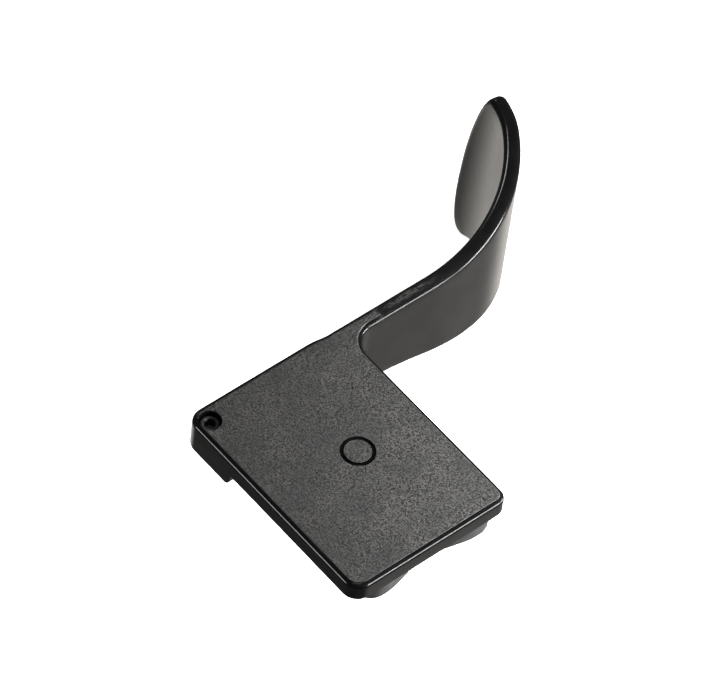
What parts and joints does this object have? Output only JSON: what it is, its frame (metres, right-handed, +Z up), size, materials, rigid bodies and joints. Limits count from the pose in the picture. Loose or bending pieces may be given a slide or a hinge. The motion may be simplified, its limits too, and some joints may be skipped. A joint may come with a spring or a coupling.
{
  "type": "camera shoe thumb rest",
  "caption": "Black metal thumb rest for a camera: a flat top plate over a shoe foot, with a curved side arm ending in a tall thumb pad and a small lock screw in one corner.",
  "frame": {"origin": "centre of the foot's flat underside, where it rests on the floor of the camera's shoe", "axes": "+X along the arm, away from the plate; +Y towards the rear of the camera, where the foot enters the shoe; +Z up"},
  "size_m": [0.0605, 0.0484, 0.0242],
  "materials": {
    "black_paint": "satin, finely pebbled on the plate's top, smooth on the walls",
    "black_steel": "blackened steel, slightly worn",
    "screw_steel": "black oxide",
    "nylon": "natural nylon"
  },
  "bodies": {
    "rest_body": {"body": "black_paint", "shoe_foot": "black_steel", "foot_screw_1": "screw_steel", "foot_screw_2": "screw_steel", "foot_screw_3": "screw_steel", "foot_screw_4": "screw_steel"},
    "plug": {"pressure_plug": "nylon"},
    "screw": {"lock_screw": "screw_steel"}
  },
  "joints": [
    {"name": "lock_screw_travel", "type": "slide", "parent": "rest_body", "child": "plug", "axis": [0, 0, 1], "range_m": [-0.0014, 0.0004]},
    {"name": "lock_screw_turn", "type": "hinge", "parent": "plug", "child": "screw", "pos_m": [-0.0106, 0.01804, 0.004], "axis": [0, 0, 1], "range_deg": [-1122, 322]}
  ],
  "couplings": [
    {"joint": "lock_screw_turn", "follows": "lock_screw_travel", "rad_per_m": 13963}
  ]
}
